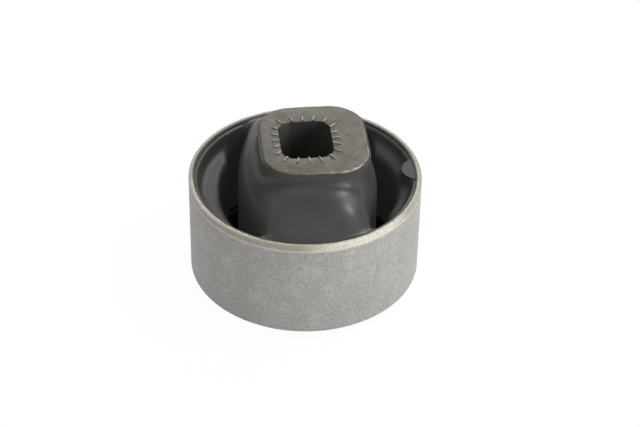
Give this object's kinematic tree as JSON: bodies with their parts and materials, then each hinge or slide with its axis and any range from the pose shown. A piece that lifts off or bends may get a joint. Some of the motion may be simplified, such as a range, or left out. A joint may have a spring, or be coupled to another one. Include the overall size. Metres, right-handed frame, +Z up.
{
  "type": "rubber metal bush",
  "caption": "Round rubber-bonded metal bush with open slots in the rubber and a proud core that has a square bolt hole.",
  "frame": {"origin": "on the sleeve's axis, in the plane of the core's lower end face", "axes": "+Z up the sleeve's axis to the core end with the grip ribs, +X towards the stop with the locating rib, Y along the rubber arms"},
  "size_m": [0.066, 0.066, 0.0444],
  "materials": {
    "blasted_steel": "fine blasted matte steel, greyer and warmer at the turned lead-in",
    "moulded_rubber": "smooth moulded rubber with a soft satin sheen",
    "cast_core": "raw casting, grey-brown and mottled"
  },
  "bodies": {
    "root": {"outer_sleeve": "blasted_steel", "rubber_body": "moulded_rubber", "inner_core": "cast_core"}
  },
  "joints": []
}
